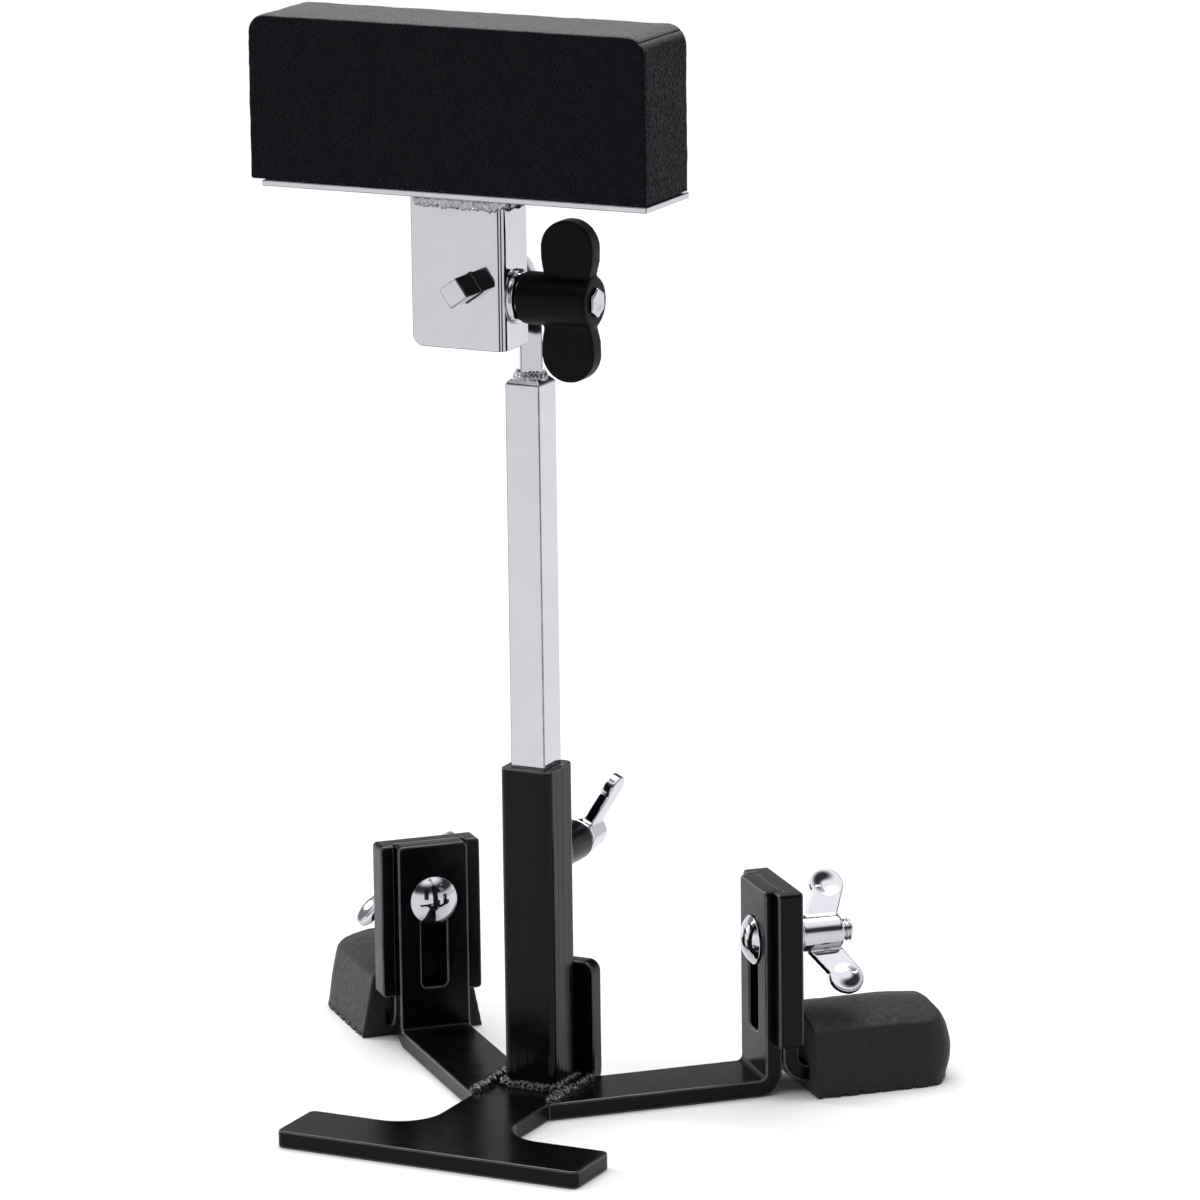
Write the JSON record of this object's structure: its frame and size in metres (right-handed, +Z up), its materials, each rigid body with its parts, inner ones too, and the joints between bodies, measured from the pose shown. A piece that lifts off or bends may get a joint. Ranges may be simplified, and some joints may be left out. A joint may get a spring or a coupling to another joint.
{
  "type": "kick pedal practice pad",
  "caption": "Foam practice pad on a chrome post over a black steel floor stand with a tongue for a kick pedal and side arms on rubber feet.",
  "frame": {"origin": "on the floor under the mast's axis", "axes": "+Z up along the mast, -Y the way the pad's striking face looks, +X the side of the T handle"},
  "size_m": [0.2396, 0.1841, 0.3756],
  "materials": {
    "black_paint": "gloss",
    "black_weld": "gloss",
    "chrome": "polished",
    "chrome_weld": "satin",
    "foam": "matte",
    "handle_plastic": "satin",
    "boot_rubber": "matte"
  },
  "bodies": {
    "base": {"base_plate": "black_paint", "mast_tube": "black_paint", "clamp_boss": "black_paint", "boss_weld": "black_weld", "tube_weld": "black_weld", "left_arm": "black_paint", "right_arm": "black_paint", "left_arm_weld": "black_weld", "right_arm_weld": "black_weld"},
    "mast_screw": {"mast_wing_screw": "chrome"},
    "post": {"mast_bar": "chrome", "hook_rod": "chrome", "rod_weld": "chrome_weld"},
    "head": {"pad_plate": "chrome", "pad_bracket": "chrome", "bracket_weld": "chrome_weld", "practice_pad": "foam", "eye_bolt": "chrome", "eye_washer": "chrome"},
    "tee": {"tee_handle": "handle_plastic", "tee_insert": "chrome"},
    "left_foot": {"left_foot_bracket": "black_paint", "left_rubber_foot": "boot_rubber", "left_foot_bolt": "chrome", "left_foot_washer": "chrome"},
    "left_nut": {"left_wing_nut": "chrome"},
    "right_foot": {"right_foot_bracket": "black_paint", "right_rubber_foot": "boot_rubber", "right_foot_bolt": "chrome", "right_foot_washer": "chrome"},
    "right_nut": {"right_wing_nut": "chrome"}
  },
  "joints": [
    {"name": "post_slide", "type": "slide", "parent": "base", "child": "post", "axis": [0, 0, 1], "range_m": [-0.015, 0.055]},
    {"name": "mast_screw_turn", "type": "hinge", "parent": "base", "child": "mast_screw", "pos_m": [0, 0.03, 0.084], "axis": [0, 1, 0], "range_deg": [0, 720]},
    {"name": "head_slide", "type": "slide", "parent": "post", "child": "head", "axis": [0, 1, 0], "range_m": [-0.01, 0.012]},
    {"name": "tee_turn", "type": "hinge", "parent": "head", "child": "tee", "pos_m": [0.03, -0.033, 0.285], "axis": [1, 0, 0], "range_deg": [0, 810]},
    {"name": "left_foot_slide", "type": "slide", "parent": "base", "child": "left_foot", "axis": [0, 0, 1], "range_m": [-0.0265, 0]},
    {"name": "left_nut_turn", "type": "hinge", "parent": "left_foot", "child": "left_nut", "pos_m": [-0.07703, 0.0557, 0.0524], "axis": [-0.7133, 0.7009, 0], "range_deg": [0, 810]},
    {"name": "right_foot_slide", "type": "slide", "parent": "base", "child": "right_foot", "axis": [0, 0, 1], "range_m": [-0.0265, 0]},
    {"name": "right_nut_turn", "type": "hinge", "parent": "right_foot", "child": "right_nut", "pos_m": [0.07703, 0.0557, 0.0524], "axis": [0.7133, 0.7009, 0], "range_deg": [0, 810]}
  ]
}
